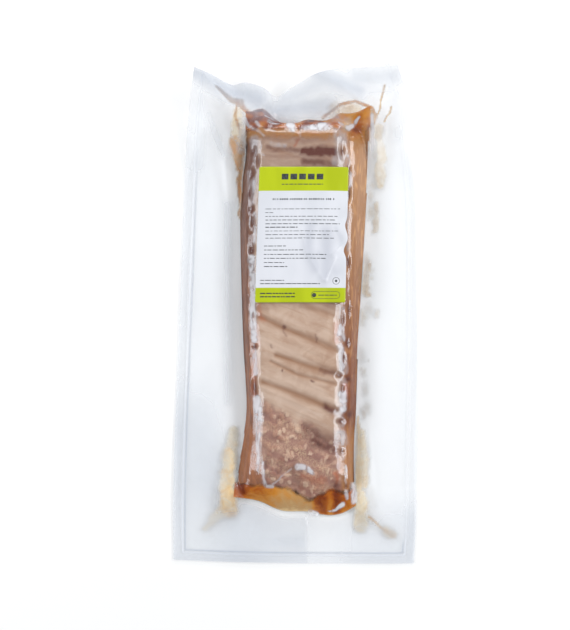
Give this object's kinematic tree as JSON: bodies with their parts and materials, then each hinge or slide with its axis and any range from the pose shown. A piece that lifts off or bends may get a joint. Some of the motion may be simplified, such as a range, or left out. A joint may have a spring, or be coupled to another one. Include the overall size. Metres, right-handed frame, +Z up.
{
  "type": "vacuum-packed pork ribs",
  "caption": "Rack of cooked pork ribs with its juices in a clear vacuum pouch, lying flat, with a wide sealed flange and a label.",
  "frame": {"origin": "middle of the pouch's box in plan, on the surface that the pouch lies on", "axes": "+X across the pouch, +Y along it towards the mouth end where the flange curls up, +Z up, with the label on top"},
  "size_m": [0.244, 0.495, 0.035],
  "materials": {
    "film": "clear gloss film",
    "label": "semi-gloss paper"
  },
  "bodies": {
    "root": {"pouch": "film", "label": "label"}
  },
  "joints": []
}
